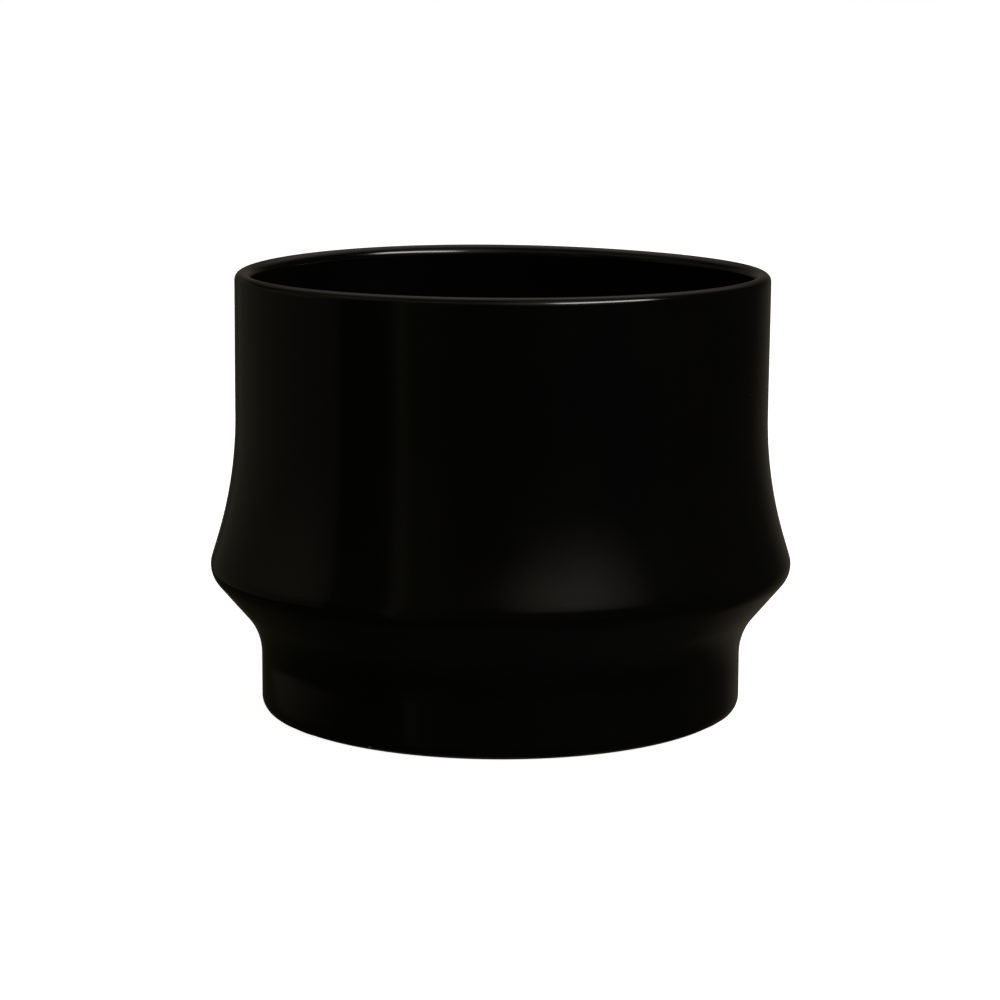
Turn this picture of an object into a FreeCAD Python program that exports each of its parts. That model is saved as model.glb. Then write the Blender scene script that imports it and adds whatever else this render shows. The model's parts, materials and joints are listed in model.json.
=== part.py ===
"""Empty ceramic candle jar: a cast stoneware vessel with three fired coats of glaze.

Every piece is turned about +Z. The origin is the centre of the foot, on the surface that the jar stands on.
Lengths are in millimetres. An outline is a chain of (radius, height) points.
"""
import FreeCAD, Part
import math
import os

# Outside of the glazed jar
HEIGHT = 76.0
SHOULDER_RADIUS = 50.0
SHOULDER_CENTRE_HEIGHT = 25.6
SHOULDER_ROUNDING = 3.8
FLARE = math.radians(40.0)
TAPER = math.radians(17.0)
WALL_RADIUS = 45.65
WALL_BLEND = 73.0
FOOT_RADIUS = 41.4
FOOT_BLEND = 12.0
FOOT_EDGE_ROUNDING = 2.5

# Rim and cavity
WALL = 3.0
RIM_OUTER_ROUNDING = 1.3
RIM_INNER_ROUNDING = 1.7
CAVITY_SHOULDER_ROUNDING = 6.0
FLOOR_HEIGHT = 5.0
FLOOR_CORNER_ROUNDING = 4.0

# Underside
RECESS_RADIUS = 35.5
RECESS_HEIGHT = 1.2
RECESS_ROUNDING = 0.7
BASE_GLAZE_RADIUS = 34.0

# Glaze: its thickness, and how far round the foot's edge the outer coat comes before it is wiped off
GLAZE = 0.25
GLAZE_LINE = math.radians(42.0)

# Angles about a rounding's centre, from the outward direction
OUT = 0.0
UP = math.pi / 2
IN = math.pi
DOWN = -math.pi / 2


def on_circle(centre, radius, angle):
    return (centre[0] + radius * math.cos(angle), centre[1] + radius * math.sin(angle))


def vector(point):
    return FreeCAD.Vector(point[0], 0, point[1])


class Rounding:
    """An arc of a surface. A deeper layer has the same centre, and a radius changed by growth times depth."""

    def __init__(self, centre, radius, first, last, growth):
        self.centre = centre
        self.radius = radius
        self.first = first
        self.last = last
        self.growth = growth

    def backwards(self):
        return Rounding(self.centre, self.radius, self.last, self.first, self.growth)


class Outline:
    """A closed chain of straight runs and arcs."""

    def __init__(self, start):
        self.start = start
        self.end = start
        self.edges = []

    def line_to(self, point):
        if math.dist(point, self.end) > 1e-7:
            self.edges.append(Part.LineSegment(vector(self.end), vector(point)).toShape())
            self.end = point

    def follow(self, roundings, depth=0.0):
        """Run along the roundings at a depth below the surface, straight from each to the next."""
        for rounding in roundings:
            radius = rounding.radius + rounding.growth * depth
            self.line_to(on_circle(rounding.centre, radius, rounding.first))
            middle = on_circle(rounding.centre, radius, (rounding.first + rounding.last) / 2)
            last = on_circle(rounding.centre, radius, rounding.last)
            self.edges.append(Part.Arc(vector(self.end), vector(middle), vector(last)).toShape())
            self.end = last

    def turned(self):
        """Close the chain and turn it about the jar's axis."""
        self.line_to(self.start)
        face = Part.Face(Part.Wire(self.edges))
        return face.revolve(FreeCAD.Vector(0, 0, 0), FreeCAD.Vector(0, 0, 1), 360)


def blend_centre(wall_radius, blend, cone_point, lean):
    """Centre of the hollow rounding between an upright wall and a cone that leans out from it.

    The lean is from the vertical: positive where the cone is above the wall, negative where it is below.
    """
    radius_at_cone = wall_radius + blend * (1 - math.cos(lean))
    height_at_cone = cone_point[1] - (cone_point[0] - radius_at_cone) / math.tan(lean)
    return (wall_radius + blend, height_at_cone - blend * math.sin(lean))


def crossing(point_a, lean_a, point_b, lean_b):
    """Where two lines cross, each given by a point and its lean from the vertical."""
    rise = point_b[0] - point_a[0] + (point_a[1] - point_b[1]) * math.tan(lean_b)
    height = point_a[1] + rise / (math.tan(lean_a) - math.tan(lean_b))
    return (point_a[0] + (height - point_a[1]) * math.tan(lean_a), height)


# Centres of the roundings
foot_edge = (FOOT_RADIUS - FOOT_EDGE_ROUNDING, FOOT_EDGE_ROUNDING - GLAZE)
shoulder = (SHOULDER_RADIUS - SHOULDER_ROUNDING, SHOULDER_CENTRE_HEIGHT)
flare_top = on_circle(shoulder, SHOULDER_ROUNDING, -FLARE)
taper_foot = on_circle(shoulder, SHOULDER_ROUNDING, TAPER)
foot_blend = blend_centre(FOOT_RADIUS, FOOT_BLEND, flare_top, FLARE)
wall_blend = blend_centre(WALL_RADIUS, WALL_BLEND, taper_foot, -TAPER)
rim_outer = (WALL_RADIUS - RIM_OUTER_ROUNDING, HEIGHT - RIM_OUTER_ROUNDING)
rim_inner = (WALL_RADIUS - WALL + RIM_INNER_ROUNDING, HEIGHT - RIM_INNER_ROUNDING)
cavity_inset = WALL + CAVITY_SHOULDER_ROUNDING
cavity_shoulder = crossing(on_circle(flare_top, cavity_inset, IN - FLARE), FLARE,
                           on_circle(taper_foot, cavity_inset, IN + TAPER), -TAPER)
floor_corner = (FOOT_RADIUS - WALL - FLOOR_CORNER_ROUNDING, FLOOR_HEIGHT + FLOOR_CORNER_ROUNDING)

# Surface of the outer coat, from its glaze line up over the rim to the inner lip
OUTSIDE = [
    Rounding(foot_edge, FOOT_EDGE_ROUNDING, -GLAZE_LINE, OUT, -1),
    Rounding(foot_blend, FOOT_BLEND, IN, IN - FLARE, 1),
    Rounding(shoulder, SHOULDER_ROUNDING, -FLARE, TAPER, -1),
    Rounding(wall_blend, WALL_BLEND, IN + TAPER, IN, 1),
    Rounding(rim_outer, RIM_OUTER_ROUNDING, OUT, UP, -1),
    Rounding(rim_inner, RIM_INNER_ROUNDING, UP, IN, -1),
]

# Surface of the liner coat, from the inner lip down to the floor
INSIDE = [
    Rounding(wall_blend, WALL_BLEND + WALL, IN, IN + TAPER, -1),
    Rounding(cavity_shoulder, CAVITY_SHOULDER_ROUNDING, TAPER, -FLARE, 1),
    Rounding(foot_blend, FOOT_BLEND + WALL, IN - FLARE, IN, -1),
    Rounding(floor_corner, FLOOR_CORNER_ROUNDING, OUT, DOWN, 1),
]


def backwards(roundings):
    return [rounding.backwards() for rounding in reversed(roundings)]


def stoneware_body():
    """The cast clay: recess under the base, bearing ring, bare foot edge, wall, rim, cavity and floor."""
    ceiling = RECESS_HEIGHT + GLAZE
    underside = [
        Rounding((RECESS_RADIUS - RECESS_ROUNDING, ceiling - RECESS_ROUNDING), RECESS_ROUNDING, UP, OUT, 0),
        Rounding((RECESS_RADIUS + RECESS_ROUNDING, RECESS_ROUNDING), RECESS_ROUNDING, IN, IN + UP, 0),
        Rounding(foot_edge, FOOT_EDGE_ROUNDING - GLAZE, DOWN, -GLAZE_LINE, 0),
    ]
    outline = Outline((0.0, ceiling))
    outline.follow(underside)
    outline.follow(OUTSIDE, GLAZE)
    outline.follow(INSIDE, GLAZE)
    outline.line_to((0.0, FLOOR_HEIGHT - GLAZE))
    return outline.turned()


def outer_glaze():
    outline = Outline(on_circle(foot_edge, FOOT_EDGE_ROUNDING, -GLAZE_LINE))
    outline.follow(OUTSIDE)
    outline.follow(backwards(OUTSIDE), GLAZE)
    return outline.turned()


def liner_glaze():
    outline = Outline(on_circle(rim_inner, RIM_INNER_ROUNDING, IN))
    outline.line_to(on_circle(rim_inner, RIM_INNER_ROUNDING - GLAZE, IN))
    outline.follow(INSIDE, GLAZE)
    outline.line_to((0.0, FLOOR_HEIGHT - GLAZE))
    outline.line_to((0.0, FLOOR_HEIGHT))
    outline.follow(backwards(INSIDE))
    return outline.turned()


def base_glaze():
    """A patch with a rolled edge, on the ceiling of the recess."""
    ceiling = RECESS_HEIGHT + GLAZE
    rolled_edge = Rounding((BASE_GLAZE_RADIUS - GLAZE, ceiling), GLAZE, DOWN, OUT, 0)
    outline = Outline((0.0, RECESS_HEIGHT))
    outline.follow([rolled_edge])
    outline.line_to((0.0, ceiling))
    return outline.turned()


os.makedirs("parts", exist_ok=True)
for piece in (stoneware_body, outer_glaze, liner_glaze, base_glaze):
    piece().exportStep("parts/" + piece.__name__ + ".step")
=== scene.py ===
"""Looks of the empty ceramic candle jar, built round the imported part. Lengths are in metres.

The jar is a body of revolution with the faint unevenness of a cast and hand-wiped pot. Each piece is turned
at high resolution from the same roundings as the part, and every piece bends by the same small unevenness.
"""
import json
import math

import bpy
from mathutils import Matrix, Quaternion, Vector


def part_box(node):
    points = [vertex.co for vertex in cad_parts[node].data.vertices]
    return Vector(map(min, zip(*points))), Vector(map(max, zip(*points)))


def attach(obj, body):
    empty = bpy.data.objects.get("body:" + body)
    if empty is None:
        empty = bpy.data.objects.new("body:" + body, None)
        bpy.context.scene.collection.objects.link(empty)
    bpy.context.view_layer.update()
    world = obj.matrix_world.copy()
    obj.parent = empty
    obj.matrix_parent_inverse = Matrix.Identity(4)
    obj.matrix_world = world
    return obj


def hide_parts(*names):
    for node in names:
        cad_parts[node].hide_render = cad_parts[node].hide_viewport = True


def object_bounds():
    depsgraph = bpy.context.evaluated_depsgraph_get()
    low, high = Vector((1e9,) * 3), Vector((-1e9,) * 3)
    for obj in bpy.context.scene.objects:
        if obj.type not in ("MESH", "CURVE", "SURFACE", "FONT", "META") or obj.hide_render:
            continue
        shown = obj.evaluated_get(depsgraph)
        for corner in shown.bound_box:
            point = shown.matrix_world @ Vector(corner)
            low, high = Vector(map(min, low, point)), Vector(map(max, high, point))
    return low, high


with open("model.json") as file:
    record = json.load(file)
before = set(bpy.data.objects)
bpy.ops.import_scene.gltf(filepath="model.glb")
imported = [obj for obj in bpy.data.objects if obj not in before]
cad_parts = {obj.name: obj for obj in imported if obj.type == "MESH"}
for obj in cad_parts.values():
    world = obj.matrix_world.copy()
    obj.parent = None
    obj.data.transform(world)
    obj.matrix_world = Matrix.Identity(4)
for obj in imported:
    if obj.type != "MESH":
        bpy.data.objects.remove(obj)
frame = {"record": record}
cad_low, cad_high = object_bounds()
mounts = {mount["name"]: mount for mount in frame["record"]["mounts"]}
MM = 0.001
GLAZE = 0.25 * MM

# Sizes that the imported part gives
HEIGHT = cad_high.z
SHOULDER_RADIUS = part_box("outer_glaze")[1].x
BORE_RADIUS = mounts["mouth"]["dims"]["r_mm"] * MM
FLOOR_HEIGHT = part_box("liner_glaze")[0].z + GLAZE
RECESS_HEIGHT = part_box("base_glaze")[0].z
BASE_GLAZE_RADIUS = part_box("base_glaze")[1].x

# The outline's own dimensions, as in the part
WALL = 3.0 * MM
WALL_RADIUS = BORE_RADIUS + WALL
WALL_BLEND = 73.0 * MM
SHOULDER_CENTRE_HEIGHT = 25.6 * MM
SHOULDER_ROUNDING = 3.8 * MM
FLARE = math.radians(40.0)
TAPER = math.radians(17.0)
FOOT_RADIUS = 41.4 * MM
FOOT_BLEND = 12.0 * MM
FOOT_EDGE_ROUNDING = 2.5 * MM
RIM_OUTER_ROUNDING = 1.3 * MM
RIM_INNER_ROUNDING = 1.7 * MM
CAVITY_SHOULDER_ROUNDING = 6.0 * MM
FLOOR_CORNER_ROUNDING = 4.0 * MM
RECESS_RADIUS = 35.5 * MM
RECESS_ROUNDING = 0.7 * MM
GLAZE_LINE = math.radians(42.0)

# Mesh fineness: segments round the axis, longest steps along an outline, and steps in small roundings
SEGMENTS = 480
FINE_STEP = 0.30 * MM
RUN_STEP = 1.1 * MM
HIDDEN_STEP = 2.5 * MM
ARC_STEP = math.radians(7.5)
ROLL_COUNT = 6
FOOT_EDGE_COUNT = 10
SHORTEST = 1e-9

# Faces that meet at more than this angle keep a sharp edge between them
CREASE = math.radians(40.0)

# Angles about a rounding's centre, from the outward direction
OUT = 0.0
UP = math.pi / 2
IN = math.pi
DOWN = -math.pi / 2


# ---------------------------------------------------------------- outline

def on_circle(centre, radius, angle):
    return (centre[0] + radius * math.cos(angle), centre[1] + radius * math.sin(angle))


def blend_centre(wall_radius, blend, cone_point, lean):
    """Centre of the hollow rounding between an upright wall and a cone that leans out from it."""
    radius_at_cone = wall_radius + blend * (1 - math.cos(lean))
    height_at_cone = cone_point[1] - (cone_point[0] - radius_at_cone) / math.tan(lean)
    return (wall_radius + blend, height_at_cone - blend * math.sin(lean))


def crossing(point_a, lean_a, point_b, lean_b):
    """Where two lines cross, each given by a point and its lean from the vertical."""
    across = point_b[0] - point_a[0] + (point_a[1] - point_b[1]) * math.tan(lean_b)
    height = point_a[1] + across / (math.tan(lean_a) - math.tan(lean_b))
    return (point_a[0] + (height - point_a[1]) * math.tan(lean_a), height)


foot_edge = (FOOT_RADIUS - FOOT_EDGE_ROUNDING, FOOT_EDGE_ROUNDING - GLAZE)
shoulder = (SHOULDER_RADIUS - SHOULDER_ROUNDING, SHOULDER_CENTRE_HEIGHT)
flare_top = on_circle(shoulder, SHOULDER_ROUNDING, -FLARE)
taper_foot = on_circle(shoulder, SHOULDER_ROUNDING, TAPER)
foot_blend = blend_centre(FOOT_RADIUS, FOOT_BLEND, flare_top, FLARE)
wall_blend = blend_centre(WALL_RADIUS, WALL_BLEND, taper_foot, -TAPER)
rim_outer = (WALL_RADIUS - RIM_OUTER_ROUNDING, HEIGHT - RIM_OUTER_ROUNDING)
rim_inner = (BORE_RADIUS + RIM_INNER_ROUNDING, HEIGHT - RIM_INNER_ROUNDING)
cavity_inset = WALL + CAVITY_SHOULDER_ROUNDING
cavity_shoulder = crossing(on_circle(flare_top, cavity_inset, IN - FLARE), FLARE,
                           on_circle(taper_foot, cavity_inset, IN + TAPER), -TAPER)
floor_corner = (FOOT_RADIUS - WALL - FLOOR_CORNER_ROUNDING, FLOOR_HEIGHT + FLOOR_CORNER_ROUNDING)

# Roundings as (centre, radius, first angle, last angle, how the radius changes per metre of depth)
OUTSIDE = [
    (foot_blend, FOOT_BLEND, IN, IN - FLARE, 1),
    (shoulder, SHOULDER_ROUNDING, -FLARE, TAPER, -1),
    (wall_blend, WALL_BLEND, IN + TAPER, IN, 1),
    (rim_outer, RIM_OUTER_ROUNDING, OUT, UP, -1),
    (rim_inner, RIM_INNER_ROUNDING, UP, IN, -1),
]
INSIDE = [
    (wall_blend, WALL_BLEND + WALL, IN, IN + TAPER, -1),
    (cavity_shoulder, CAVITY_SHOULDER_ROUNDING, TAPER, -FLARE, 1),
    (foot_blend, FOOT_BLEND + WALL, IN - FLARE, IN, -1),
    (floor_corner, FLOOR_CORNER_ROUNDING, OUT, DOWN, 1),
]


def arc(points, centre, radius, first, last, count):
    """Add points along an arc, leaving out its first."""
    for i in range(1, count + 1):
        points.append(on_circle(centre, radius, first + (last - first) * i / count))


def follow(points, roundings, depth=0.0, step=RUN_STEP):
    """Add points along the roundings at a depth below the surface, with straight runs between them."""
    for centre, radius, first, last, growth in roundings:
        at_depth = radius + growth * depth
        sweep = abs(last - first)
        run_to(points, on_circle(centre, at_depth, first), step)
        count = max(3, math.ceil(sweep / (ARC_STEP * step / RUN_STEP)), math.ceil(sweep * at_depth / step))
        arc(points, centre, at_depth, first, last, count)


def run_to(points, end, step=RUN_STEP):
    """Add points straight to an end."""
    if points:
        start = points[-1]
        distance = math.dist(start, end)
        if distance < SHORTEST:
            return
        count = max(1, math.ceil(distance / step))
        for i in range(1, count):
            share = i / count
            points.append((start[0] + (end[0] - start[0]) * share, start[1] + (end[1] - start[1]) * share))
    points.append(end)


def backwards(roundings):
    return [
        (centre, radius, last, first, growth)
        for centre, radius, first, last, growth in reversed(roundings)
    ]


# ---------------------------------------------------------------- unevenness

def wave(turn, parts):
    """A periodic wave about the axis: a sum of (how many per turn, amplitude, phase)."""
    return sum(amplitude * math.sin(count * turn + phase) for count, amplitude, phase in parts)


# How the pot strays from a true form, at four heights: (how many per turn, amplitude, phase).
# A spread is outwards and a lift is upwards. These are rounded results of a fit to the real pot's outline.
FOOT_SPREAD = ((2, 0.21 * MM, 0.49), (3, 0.15 * MM, -0.24))
SHOULDER_SPREAD = ((1, 0.07 * MM, -1.34), (2, 0.10 * MM, 1.20))
WAIST_SPREAD = ((2, 0.08 * MM, 2.49),)
RIM_SPREAD = ((1, 0.07 * MM, 2.02), (2, 0.06 * MM, 1.90), (3, 0.11 * MM, 2.40))
SHOULDER_LIFT = ((1, 0.09 * MM, 1.68), (2, 0.13 * MM, -2.91))
RIM_LIFT = ((1, 0.11 * MM, -2.17), (2, 0.15 * MM, -2.15), (3, 0.06 * MM, 1.99))
RIM_SAG = -0.16 * MM
WAIST_HEIGHT = 50.0 * MM
FOOT_TOP = foot_blend[1]

# How the wiped edge of the glaze wanders, as angles round the foot's edge
LINE_WAVE = ((2, 0.035, 0.9), (5, 0.030, 2.1), (11, 0.022, 4.0), (23, 0.016, 1.3), (41, 0.012, 3.3))

# The same wave spreads the edge of the base glaze, as a share of its radius
BASE_WAVE_SHARE = 0.1


def rise(low, high, value):
    """From 0 at low to 1 at high, level at both ends."""
    share = min(1.0, max(0.0, (value - low) / (high - low)))
    return share * share * (3 - 2 * share)


def uneven(radius, height, turn):
    """Where a point of the true lathe form lies on the real pot."""
    above_foot = rise(FOOT_TOP, SHOULDER_CENTRE_HEIGHT, height)
    above_shoulder = rise(SHOULDER_CENTRE_HEIGHT, WAIST_HEIGHT, height)
    above_waist = rise(WAIST_HEIGHT, HEIGHT, height)
    spread = ((1 - above_foot) * wave(turn, FOOT_SPREAD)
              + above_foot * (1 - above_shoulder) * wave(turn, SHOULDER_SPREAD)
              + above_shoulder * (1 - above_waist) * wave(turn, WAIST_SPREAD)
              + above_waist * wave(turn, RIM_SPREAD))
    lift = (above_foot * (1 - above_shoulder) * wave(turn, SHOULDER_LIFT)
            + above_waist * (RIM_SAG + wave(turn, RIM_LIFT)))
    return (radius + spread * min(1.0, radius / FOOT_RADIUS), height + lift)


# ---------------------------------------------------------------- turning

def turned(name, outline_at, node, closed=True):
    """A closed mesh from an outline that may change with the turn. A point at radius 0 is a pole."""
    vertices = []
    rings = []
    first = outline_at(0.0)
    poles = [radius < SHORTEST for radius, _ in first]
    columns = [outline_at(math.tau * s / SEGMENTS) for s in range(SEGMENTS)]
    for p, is_pole in enumerate(poles):
        start = len(vertices)
        if is_pole:
            vertices.append((0.0, 0.0, first[p][1]))
            rings.append([start] * SEGMENTS)
        else:
            for s in range(SEGMENTS):
                turn = math.tau * s / SEGMENTS
                radius, height = uneven(*columns[s][p], turn)
                vertices.append((radius * math.cos(turn), radius * math.sin(turn), height))
            rings.append([start + s for s in range(SEGMENTS)])
    faces = []
    for p in range(len(rings) - (0 if closed else 1)):
        lower, upper = rings[p], rings[(p + 1) % len(rings)]
        for s in range(SEGMENTS):
            n = (s + 1) % SEGMENTS
            corners = [lower[s], lower[n], upper[n], upper[s]]
            faces.append([c for i, c in enumerate(corners) if c != corners[i - 1]])
    mesh = bpy.data.meshes.new(name)
    mesh.from_pydata(vertices, [], faces)
    mesh.validate()
    mesh.shade_smooth()
    mesh.set_sharp_from_angle(angle=CREASE)
    piece = bpy.data.objects.new(name, mesh)
    bpy.context.scene.collection.objects.link(piece)
    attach(piece, "root")
    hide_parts(node)
    return piece


def outer_coat(turn):
    """Outer glaze: a rolled edge at the wavy glaze line, the outside, the rim, and back along the clay.

    The last point is left out, because it is the first one again.
    """
    line = GLAZE_LINE + wave(turn, LINE_WAVE)
    roll = GLAZE / FOOT_EDGE_ROUNDING
    points = []
    for i in range(ROLL_COUNT + 1):
        quarter = UP * i / ROLL_COUNT
        depth = GLAZE * (1 - math.sin(quarter))
        angle = -line + roll * (1 - math.cos(quarter))
        points.append(on_circle(foot_edge, FOOT_EDGE_ROUNDING - depth, angle))
    arc(points, foot_edge, FOOT_EDGE_ROUNDING, roll - line, OUT, FOOT_EDGE_COUNT)
    follow(points, OUTSIDE)
    follow(points, backwards(OUTSIDE), GLAZE, HIDDEN_STEP)
    run_to(points, on_circle(foot_edge, FOOT_EDGE_ROUNDING - GLAZE, OUT), HIDDEN_STEP)
    arc(points, foot_edge, FOOT_EDGE_ROUNDING - GLAZE, OUT, -line, ROLL_COUNT)
    return points[:-1]


def inner_coat(turn):
    """Liner glaze: from the inner lip down to the floor's middle, and back along the clay."""
    points = [on_circle(rim_inner, RIM_INNER_ROUNDING, IN)]
    follow(points, INSIDE)
    run_to(points, (0.0, FLOOR_HEIGHT), 2 * RUN_STEP)
    run_to(points, (0.0, FLOOR_HEIGHT - GLAZE), HIDDEN_STEP)
    follow(points, backwards(INSIDE), GLAZE, HIDDEN_STEP)
    run_to(points, on_circle(rim_inner, RIM_INNER_ROUNDING - GLAZE, IN), HIDDEN_STEP)
    return points


def clay(turn):
    """Stoneware: recess, bearing ring, bare foot edge, then the surfaces under the two coats."""
    ceiling = RECESS_HEIGHT + GLAZE
    points = [(0.0, ceiling)]
    underside = [
        ((RECESS_RADIUS - RECESS_ROUNDING, ceiling - RECESS_ROUNDING), RECESS_ROUNDING, UP, OUT, 0),
        ((RECESS_RADIUS + RECESS_ROUNDING, RECESS_ROUNDING), RECESS_ROUNDING, IN, IN + UP, 0),
    ]
    follow(points, underside)
    follow(points, [(foot_edge, FOOT_EDGE_ROUNDING, DOWN, OUT, -1)], GLAZE, FINE_STEP)
    follow(points, OUTSIDE, GLAZE, HIDDEN_STEP)
    follow(points, INSIDE, GLAZE, HIDDEN_STEP)
    run_to(points, (0.0, FLOOR_HEIGHT - GLAZE), 2 * HIDDEN_STEP)
    return points


def base_patch(turn):
    """Base glaze: a pool with a rolled, slightly wavy edge on the recess's ceiling."""
    ceiling = RECESS_HEIGHT + GLAZE
    edge = BASE_GLAZE_RADIUS - GLAZE
    points = [(0.0, RECESS_HEIGHT)]
    run_to(points, (edge, RECESS_HEIGHT), 2 * RUN_STEP)
    arc(points, (edge, ceiling), GLAZE, DOWN, OUT, ROLL_COUNT)
    run_to(points, (0.0, ceiling), 2 * HIDDEN_STEP)
    spread = 1.0 + BASE_WAVE_SHARE * wave(turn, LINE_WAVE)
    return [(radius * spread, height) for radius, height in points]


outer = turned("outer_glaze_coat", outer_coat, "outer_glaze")
liner = turned("liner_glaze_coat", inner_coat, "liner_glaze")
pot = turned("stoneware_pot", clay, "stoneware_body", closed=False)
base = turned("base_glaze_patch", base_patch, "base_glaze", closed=False)


# ---------------------------------------------------------------- materials

# Noise is about 0.5, and seldom leaves this span
NOISE_LOW = 0.3
NOISE_HIGH = 0.7

# Glaze: sizes of its features, the height of its faint orange peel, and its roughness
CLOUD_SIZE = 14.0 * MM
PEEL_SIZE = 2.4 * MM
GRAIN_SIZE = 0.35 * MM
SPECK_SPACING = 3.2 * MM
PEEL_HEIGHT = 0.004 * MM
GRAIN_SHARE = 0.12
PINHOLE_SHARE = 0.5
GLAZE_IOR = 1.5
COAT_ROUGHNESS = 0.13
BASE_ROUGHNESS = 0.26

# The cells whose random value is past these hold a speck, and its radius, as a share of the spacing
SPECK_CHOICE = (0.955, 0.96)
SPECK_RADIUS = (0.03, 0.06)

# A pale crumb just above the glaze line, 31 degrees left of the side that faces -Y
CRUMB_TURN = math.radians(238.6)
CRUMB_RISE = 0.25 * MM
CRUMB_HEIGHT = 0.60 * MM
CRUMB_EDGE = (0.50 * MM, 0.60 * MM)
CRUMB_DOME = (0.10 * MM, 0.62 * MM)
CRUMB_RAGGED = 0.3 * MM

# Clay: sizes of its features
TOAST_SIZE = 9.0 * MM
GRIT_SIZE = 0.30 * MM
GROG_SPACING = 0.9 * MM
GRIT_HEIGHT = 0.05 * MM


class Nodes:
    """Short calls for building one material's node tree."""

    def __init__(self, name):
        self.material = bpy.data.materials.new(name)
        self.material.use_nodes = True
        self.tree = self.material.node_tree
        self.shader = self.tree.nodes["Principled BSDF"]
        self.place = self.tree.nodes.new("ShaderNodeTexCoord").outputs["Object"]

    def link(self, source, socket):
        self.tree.links.new(source, socket)

    def noise(self, size, detail, offset=(0.0, 0.0, 0.0)):
        """Noise with features of a size in metres."""
        mapping = self.tree.nodes.new("ShaderNodeMapping")
        mapping.inputs["Location"].default_value = offset
        noise = self.tree.nodes.new("ShaderNodeTexNoise")
        noise.inputs["Scale"].default_value = 1.0 / size
        noise.inputs["Detail"].default_value = detail
        self.link(self.place, mapping.inputs["Vector"])
        self.link(mapping.outputs["Vector"], noise.inputs["Vector"])
        return noise.outputs["Fac"]

    def cells(self, size, offset=(0.0, 0.0, 0.0)):
        """Distance to the nearest of scattered points, in cell sizes, and a random colour of each point."""
        mapping = self.tree.nodes.new("ShaderNodeMapping")
        mapping.inputs["Location"].default_value = offset
        voronoi = self.tree.nodes.new("ShaderNodeTexVoronoi")
        voronoi.inputs["Scale"].default_value = 1.0 / size
        self.link(self.place, mapping.inputs["Vector"])
        self.link(mapping.outputs["Vector"], voronoi.inputs["Vector"])
        return voronoi.outputs["Distance"], voronoi.outputs["Color"]

    def distance_to(self, point):
        """Distance in metres from a point of the jar."""
        node = self.tree.nodes.new("ShaderNodeVectorMath")
        node.operation = "DISTANCE"
        node.inputs[1].default_value = point
        self.link(self.place, node.inputs[0])
        return node.outputs["Value"]

    def remap(self, value, low, high, to_low, to_high):
        """Take a value smoothly from one span to another."""
        node = self.tree.nodes.new("ShaderNodeMapRange")
        node.interpolation_type = "SMOOTHSTEP"
        node.inputs["From Min"].default_value = low
        node.inputs["From Max"].default_value = high
        node.inputs["To Min"].default_value = to_low
        node.inputs["To Max"].default_value = to_high
        self.link(value, node.inputs["Value"])
        return node.outputs["Result"]

    def maths(self, operation, a, b):
        node = self.tree.nodes.new("ShaderNodeMath")
        node.operation = operation
        for socket, value in zip(node.inputs, (a, b)):
            if isinstance(value, (int, float)):
                socket.default_value = value
            else:
                self.link(value, socket)
        return node.outputs["Value"]

    def mix(self, share, a, b):
        node = self.tree.nodes.new("ShaderNodeMix")
        node.data_type = "RGBA"
        self.link(share, node.inputs["Factor"])
        for socket, value in ((node.inputs[6], a), (node.inputs[7], b)):
            if isinstance(value, tuple):
                socket.default_value = (*value, 1.0)
            else:
                self.link(value, socket)
        return node.outputs[2]

    def bump(self, height, distance):
        """Raise the surface by a height, in parts of a distance in metres."""
        node = self.tree.nodes.new("ShaderNodeBump")
        node.inputs["Distance"].default_value = distance
        self.link(height, node.inputs["Height"])
        self.link(node.outputs["Normal"], self.shader.inputs["Normal"])


def crumb_in(n, offset):
    """A pale crumb stuck at the glaze line: where it is, from 0 to 1, and its rounded height."""
    angle = GLAZE_LINE - CRUMB_RISE / FOOT_EDGE_ROUNDING
    radius, height = on_circle(foot_edge, FOOT_EDGE_ROUNDING, -angle)
    centre = (radius * math.cos(CRUMB_TURN), radius * math.sin(CRUMB_TURN), height)
    ragged = n.maths("MULTIPLY", n.noise(CRUMB_RAGGED, 2.0, offset), CRUMB_RAGGED)
    distance = n.maths("ADD", n.distance_to(centre), ragged)
    return n.remap(distance, *CRUMB_EDGE, 1.0, 0.0), n.remap(distance, *CRUMB_DOME, 1.0, 0.0)


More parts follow.
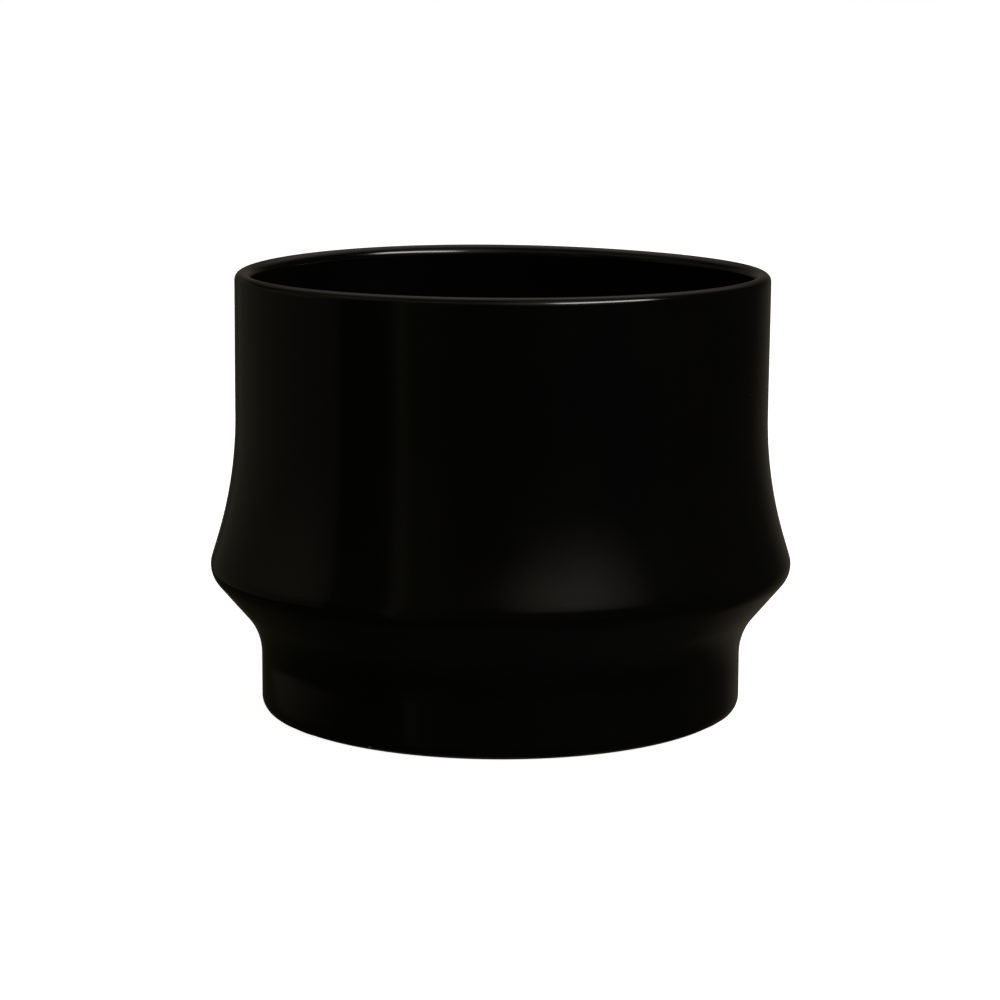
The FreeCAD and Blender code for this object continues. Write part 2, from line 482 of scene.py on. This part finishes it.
def satin_glaze(name, roughness, offset):
    """Black satin glaze: cloudy depth, faint orange peel, a fine grain, and a few pale, sunken specks.

    Every coat's material holds the crumb, but only the outer coat reaches the place where it is.
    """
    n = Nodes(name)
    cloud = n.noise(CLOUD_SIZE, 3.0, offset)
    grain = n.noise(GRAIN_SIZE, 2.0, offset)
    peel = n.noise(PEEL_SIZE, 2.0, offset)
    clouded = n.remap(cloud, NOISE_LOW, NOISE_HIGH, 0.0, 1.0)
    black = n.mix(clouded, (0.0016, 0.0016, 0.0018), (0.0022, 0.0021, 0.0021))
    distance, pick = n.cells(SPECK_SPACING, offset)
    chosen = n.remap(pick, *SPECK_CHOICE, 0.0, 1.0)
    speck = n.maths("MULTIPLY", n.remap(distance, *SPECK_RADIUS, 1.0, 0.0), chosen)
    crumb, crumb_height = crumb_in(n, offset)
    colour = n.mix(crumb, n.mix(speck, black, (0.16, 0.14, 0.12)), (0.95, 0.88, 0.78))
    n.link(colour, n.shader.inputs["Base Color"])
    rough = n.maths("ADD", n.remap(cloud, NOISE_LOW, NOISE_HIGH, roughness - 0.02, roughness + 0.02),
                    n.remap(grain, NOISE_LOW, NOISE_HIGH, -0.015, 0.015))
    dry = n.maths("ADD", n.maths("MULTIPLY", speck, 0.25), n.maths("MULTIPLY", crumb, 0.70))
    n.link(n.maths("ADD", rough, dry), n.shader.inputs["Roughness"])
    surface = n.maths("ADD", peel, n.maths("MULTIPLY", grain, GRAIN_SHARE))
    pitted = n.maths("SUBTRACT", surface, n.maths("MULTIPLY", speck, PINHOLE_SHARE))
    crumbed = n.maths("ADD", pitted, n.maths("MULTIPLY", crumb_height, CRUMB_HEIGHT / PEEL_HEIGHT))
    n.bump(crumbed, PEEL_HEIGHT)
    n.shader.inputs["IOR"].default_value = GLAZE_IOR
    return n.material


def bare_clay(name):
    """Fired stoneware: buff with darker grog grains, a toasted cast and a dry, gritty surface."""
    n = Nodes(name)
    toast = n.noise(TOAST_SIZE, 3.0)
    grit = n.noise(GRIT_SIZE, 3.0)
    buff = n.mix(n.remap(toast, 0.35, 0.65, 0.0, 1.0), (0.46, 0.38, 0.29), (0.56, 0.48, 0.38))
    distance, pick = n.cells(GROG_SPACING)
    grog = n.maths("MULTIPLY", n.remap(distance, 0.10, 0.22, 1.0, 0.0), n.remap(pick, 0.6, 0.7, 0.0, 1.0))
    n.link(n.mix(grog, buff, (0.20, 0.14, 0.09)), n.shader.inputs["Base Color"])
    n.link(n.remap(grit, NOISE_LOW, NOISE_HIGH, 0.80, 0.95), n.shader.inputs["Roughness"])
    n.bump(n.maths("ADD", grit, n.maths("MULTIPLY", grog, 0.4)), GRIT_HEIGHT)
    return n.material


outer.data.materials.append(satin_glaze("outer_satin_glaze", COAT_ROUGHNESS, (0.0, 0.0, 0.0)))
liner.data.materials.append(satin_glaze("liner_satin_glaze", COAT_ROUGHNESS, (0.31, 0.17, 0.23)))
base.data.materials.append(satin_glaze("base_satin_glaze", BASE_ROUGHNESS, (0.53, 0.41, 0.11)))
pot.data.materials.append(bare_clay("bare_stoneware_clay"))


# ---------------------------------------------------------------- studio

# Camera: where it is, and the width that it sees at the jar's middle
CAMERA_DISTANCE = 0.5480
CAMERA_ELEVATION = math.radians(10.06)
CAMERA_ROLL = math.radians(0.18)
CAMERA_AIM = Vector((-0.22 * MM, 0.0, 35.93 * MM))
VIEW_WIDTH = 172.92 * MM
SENSOR_WIDTH = 36.0

# Lights stand this far from the jar's middle
LIGHT_DISTANCE = 1.2

# Floor: half its width, and the ring in which its own glow rises to full white; inside the ring the glow is
# dimmed as a painted contact shadow round the jar's foot
FLOOR_HALF = 6.0
PAINTED_SHADE_INNER = 0.045
PAINTED_SHADE_OUTER = 0.30
PAINTED_SHADE_BRIGHTNESS = 0.96

# What the glaze reflects where no light stands: a dim, warm grey
ROOM_RADIANCE = (0.0137, 0.0131, 0.0073, 1.0)


def toward(azimuth, elevation):
    """A unit direction from the jar. Azimuth 0 is towards the camera and 90 is to its right."""
    a, e = math.radians(azimuth), math.radians(elevation)
    return Vector((math.sin(a) * math.cos(e), -math.cos(a) * math.cos(e), math.sin(e)))


def place_camera():
    """The camera looks down a little at the jar's middle, with a long lens and a slight roll."""
    back = Vector((0.0, -math.cos(CAMERA_ELEVATION), math.sin(CAMERA_ELEVATION)))
    right = Vector((1.0, 0.0, 0.0))
    up = back.cross(right)
    rolled_right = right * math.cos(CAMERA_ROLL) + up * math.sin(CAMERA_ROLL)
    rolled_up = up * math.cos(CAMERA_ROLL) - right * math.sin(CAMERA_ROLL)
    data = bpy.data.cameras.new("camera")
    data.sensor_width = SENSOR_WIDTH
    data.lens = SENSOR_WIDTH * CAMERA_DISTANCE / VIEW_WIDTH
    camera = bpy.data.objects.new("camera", data)
    bpy.context.scene.collection.objects.link(camera)
    turn = Matrix((rolled_right, rolled_up, back)).transposed().to_4x4()
    camera.matrix_world = Matrix.Translation(CAMERA_AIM + back * CAMERA_DISTANCE) @ turn
    bpy.context.scene.camera = camera


def fade_edges(data, share):
    """Let a light's brightness fall smoothly to nothing over a share of its size at each edge."""
    data.use_nodes = True
    tree = data.node_tree
    across = tree.nodes.new("ShaderNodeSeparateXYZ")
    tree.links.new(tree.nodes.new("ShaderNodeNewGeometry").outputs["Parametric"], across.inputs[0])
    strength = tree.nodes.new("ShaderNodeMath")
    strength.operation = "MULTIPLY"
    for i in range(2):
        offset = tree.nodes.new("ShaderNodeMath")
        offset.operation = "SUBTRACT"
        offset.inputs[1].default_value = 0.5
        size = tree.nodes.new("ShaderNodeMath")
        size.operation = "ABSOLUTE"
        fade = tree.nodes.new("ShaderNodeMapRange")
        fade.interpolation_type = "SMOOTHSTEP"
        fade.inputs["From Min"].default_value = 0.5
        fade.inputs["From Max"].default_value = 0.5 - share
        tree.links.new(across.outputs[i], offset.inputs[0])
        tree.links.new(offset.outputs[0], size.inputs[0])
        tree.links.new(size.outputs[0], fade.inputs["Value"])
        tree.links.new(fade.outputs["Result"], strength.inputs[i])
    tree.links.new(strength.outputs[0], tree.nodes["Emission"].inputs["Strength"])


def softbox(name, azimuth, elevation, roll, width, height, fade, radiance, colour):
    """A rectangular light that faces the jar and shows in its glaze, not in the picture.

    Angles are in degrees, sizes in metres, and the fade is the share of each size that fades at an edge.
    """
    away = toward(azimuth, elevation)
    data = bpy.data.lights.new(name, "AREA")
    data.shape = "RECTANGLE"
    data.size = width
    data.size_y = height
    data.energy = radiance * math.pi * width * height
    data.color = colour
    fade_edges(data, fade)
    lamp = bpy.data.objects.new(name, data)
    bpy.context.scene.collection.objects.link(lamp)
    lamp.location = Vector((0, 0, HEIGHT / 2)) + away * LIGHT_DISTANCE
    lamp.rotation_mode = "QUATERNION"
    rolled = Quaternion((0.0, 0.0, 1.0), math.radians(roll))
    lamp.rotation_quaternion = away.to_track_quat("Z", "Y") @ rolled
    lamp.visible_camera = False


def make_floor():
    """A white floor, level with the jar's foot, that the glaze doesn't reflect, with a painted contact
    shadow: its glow is a little dimmer near the jar.
    """
    mesh = bpy.data.meshes.new("floor")
    corners = [(x * FLOOR_HALF, y * FLOOR_HALF, 0.0) for x, y in ((-1, -1), (1, -1), (1, 1), (-1, 1))]
    mesh.from_pydata(corners, [], [(0, 1, 2, 3)])
    floor = bpy.data.objects.new("floor", mesh)
    bpy.context.scene.collection.objects.link(floor)
    n = Nodes("pale_floor")
    distance = n.distance_to((0.0, 0.0, 0.0))
    n.shader.inputs["Base Color"].default_value = (0.80, 0.80, 0.80, 1.0)
    n.shader.inputs["Roughness"].default_value = 1.0
    n.shader.inputs["Specular IOR Level"].default_value = 0.0
    n.shader.inputs["Emission Color"].default_value = (1.0, 1.0, 1.0, 1.0)
    # Painted contact shadow: the floor's glow is dimmed near the jar and rises to full white further out
    brightness = n.remap(distance, PAINTED_SHADE_INNER, PAINTED_SHADE_OUTER, PAINTED_SHADE_BRIGHTNESS, 1.0)
    n.link(brightness, n.shader.inputs["Emission Strength"])
    mesh.materials.append(n.material)
    floor.visible_glossy = False
    floor.visible_diffuse = False
    floor.visible_shadow = False


def make_world():
    """White behind the jar, and a dim warm grey room in its glaze."""
    world = bpy.data.worlds.new("studio")
    world.use_nodes = True
    tree = world.node_tree
    background = tree.nodes["Background"]
    path = tree.nodes.new("ShaderNodeLightPath")
    mix = tree.nodes.new("ShaderNodeMix")
    mix.data_type = "RGBA"
    mix.inputs[6].default_value = ROOM_RADIANCE
    mix.inputs[7].default_value = (1.0, 1.0, 1.0, 1.0)
    tree.links.new(path.outputs["Is Camera Ray"], mix.inputs["Factor"])
    tree.links.new(mix.outputs[2], background.inputs["Color"])
    bpy.context.scene.world = world


place_camera()
make_world()
make_floor()

# Name, azimuth, elevation, roll, width, height, fade, radiance, colour
for light in (
    ("key", 48, 39, 1, 1.00, 0.36, 0.20, 10.5, (1.0, 0.98, 0.99)),
    ("key_glow", 34, 42, -8, 1.65, 1.9, 0.50, 0.50, (1.0, 0.94, 0.77)),
    ("rear", 175, 60, 18, 2.4, 2.2, 0.50, 0.46, (1.0, 0.92, 0.84)),
    ("left_card", -113, 3, 0, 2.3, 0.85, 0.05, 0.034, (1.0, 0.89, 0.71)),
    ("left_ceiling", -92, 32, -20, 1.6, 1.8, 0.40, 0.049, (0.97, 1.0, 0.73)),
    ("front_strip", -40, 30, -3, 0.22, 3.4, 0.25, 0.035, (1.0, 0.96, 0.58)),
    ("front_strip_fade", -31, 8, -10, 0.9, 3.8, 0.50, 0.0195, (1.0, 0.96, 0.50)),
    ("back_card", 173, -4, -40, 1.6, 3.4, 0.50, 0.066, (1.0, 0.84, 0.69)),
    ("table_glow", 60, -78, 0, 3.0, 2.6, 0.40, 0.015, (0.69, 0.73, 1.0)),
    ("front_card", 40, -9, 5, 2.4, 1.3, 0.40, 0.0086, (0.51, 0.68, 1.0)),
    ("front_ceiling", -33, 47, -8, 3.6, 1.1, 0.40, 0.104, (1.0, 0.89, 0.57)),
):
    softbox(*light)
bpy.context.scene.view_settings.view_transform = "Standard"
